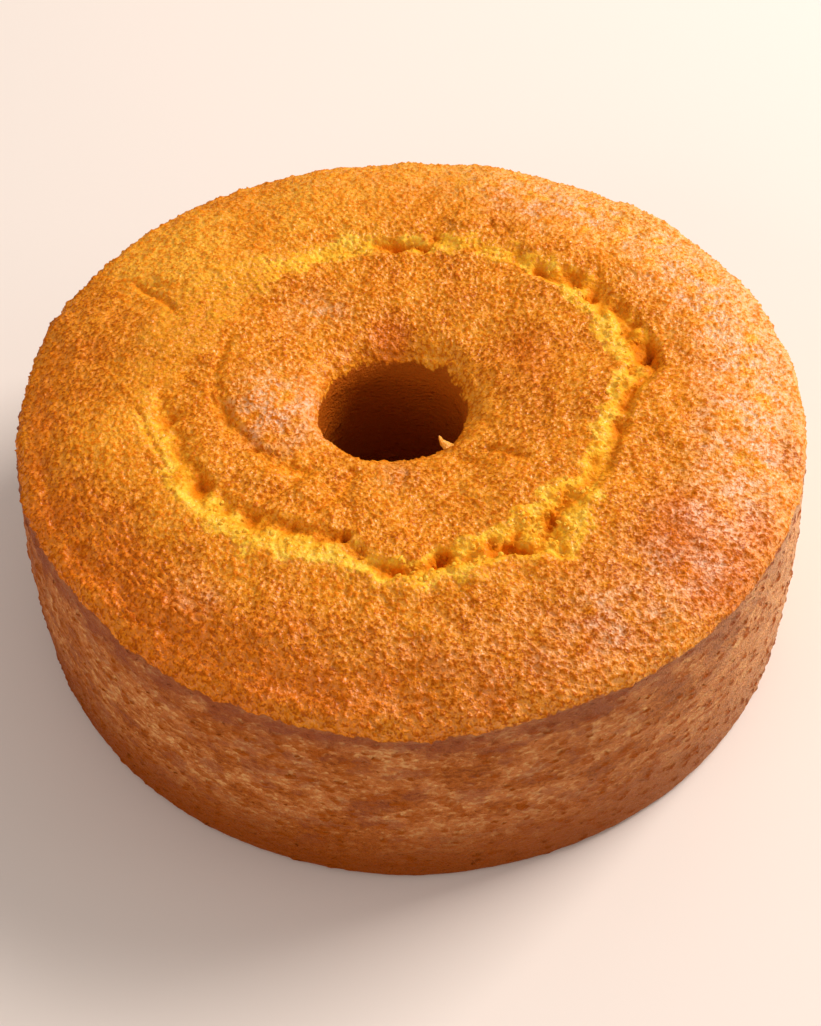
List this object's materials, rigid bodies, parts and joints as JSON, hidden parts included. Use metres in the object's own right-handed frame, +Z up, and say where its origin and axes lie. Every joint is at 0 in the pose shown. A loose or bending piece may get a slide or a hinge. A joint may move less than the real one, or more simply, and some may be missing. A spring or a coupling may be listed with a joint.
{
  "type": "carrot cake",
  "caption": "Whole ring-shaped carrot cake without icing: straight pan-baked sides, domed split crust and an open central hole.",
  "frame": {"origin": "middle of the flat underside, on the axis of the outer wall", "axes": "+Z up through the crust; the pictured side faces -Y, with +X to the viewer's right"},
  "size_m": [0.2447, 0.2442, 0.0852],
  "materials": {
    "baked_crust": "golden brown baked sponge crust, fine open pores, dry, with yellow crumb in the split"
  },
  "bodies": {
    "root": {"cake": "baked_crust"}
  },
  "joints": []
}
